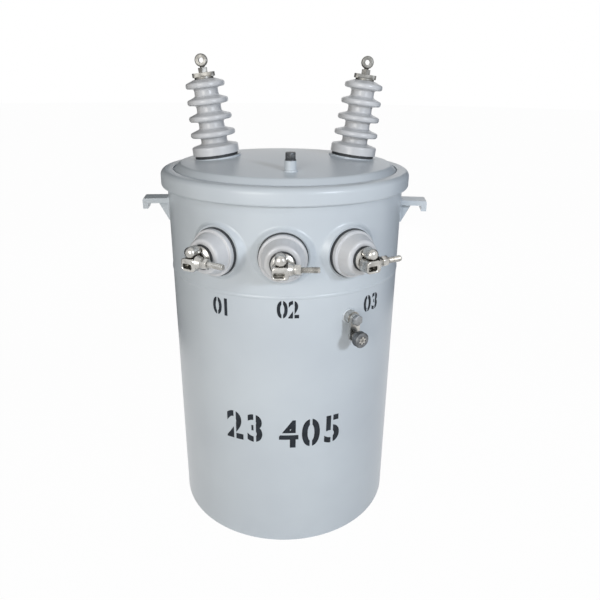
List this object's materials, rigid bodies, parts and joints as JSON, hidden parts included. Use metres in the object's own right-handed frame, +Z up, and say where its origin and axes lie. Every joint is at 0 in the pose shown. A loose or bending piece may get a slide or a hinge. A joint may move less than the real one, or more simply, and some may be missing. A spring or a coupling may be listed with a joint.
{
  "type": "pole mounted distribution transformer",
  "caption": "Round steel transformer tank with a clamped domed cover, porcelain high and low voltage bushings, lifting lugs and rear pole brackets.",
  "frame": {"origin": "centre of the tank's underside", "axes": "+Z up the tank axis, low voltage bushings towards -Y, pole brackets towards +Y"},
  "size_m": [0.5834, 0.619, 0.9712],
  "materials": {
    "tank_paint": "semi-gloss",
    "porcelain": "glossy",
    "gasket_rubber": "matte",
    "tinned_bronze": "satin",
    "galvanised_steel": "satin",
    "oil_and_core": "matte"
  },
  "bodies": {
    "root": {"tank_shell": "tank_paint", "tank_bottom": "tank_paint", "cover": "tank_paint", "cover_band": "tank_paint", "fill_neck": "tank_paint", "hanger_upper": "tank_paint", "hanger_lower": "tank_paint", "ground_boss": "tank_paint", "lifting_lug_left": "tank_paint", "lifting_lug_right": "tank_paint", "hv_bushing_left": "porcelain", "hv_bushing_right": "porcelain", "lv_bushing_1": "porcelain", "lv_bushing_2": "porcelain", "lv_bushing_3": "porcelain", "cover_gasket": "gasket_rubber", "hv_gasket_left": "gasket_rubber", "hv_gasket_right": "gasket_rubber", "lv_gasket_1": "gasket_rubber", "lv_gasket_2": "gasket_rubber", "lv_gasket_3": "gasket_rubber", "lv_seal_1": "gasket_rubber", "lv_seal_2": "gasket_rubber", "lv_seal_3": "gasket_rubber", "hv_cap_left": "tinned_bronze", "hv_cap_right": "tinned_bronze", "hv_terminal_left": "tinned_bronze", "hv_terminal_right": "tinned_bronze", "lv_terminal_1": "tinned_bronze", "lv_terminal_2": "tinned_bronze", "lv_terminal_3": "tinned_bronze", "lv_clamp_screw_1": "tinned_bronze", "lv_clamp_screw_2": "tinned_bronze", "lv_clamp_screw_3": "tinned_bronze", "ground_clamp": "tinned_bronze", "band_bolt": "galvanised_steel", "fill_plug": "galvanised_steel", "ground_bolt": "galvanised_steel", "ground_screw": "galvanised_steel", "core_and_oil": "oil_and_core"}
  },
  "joints": []
}
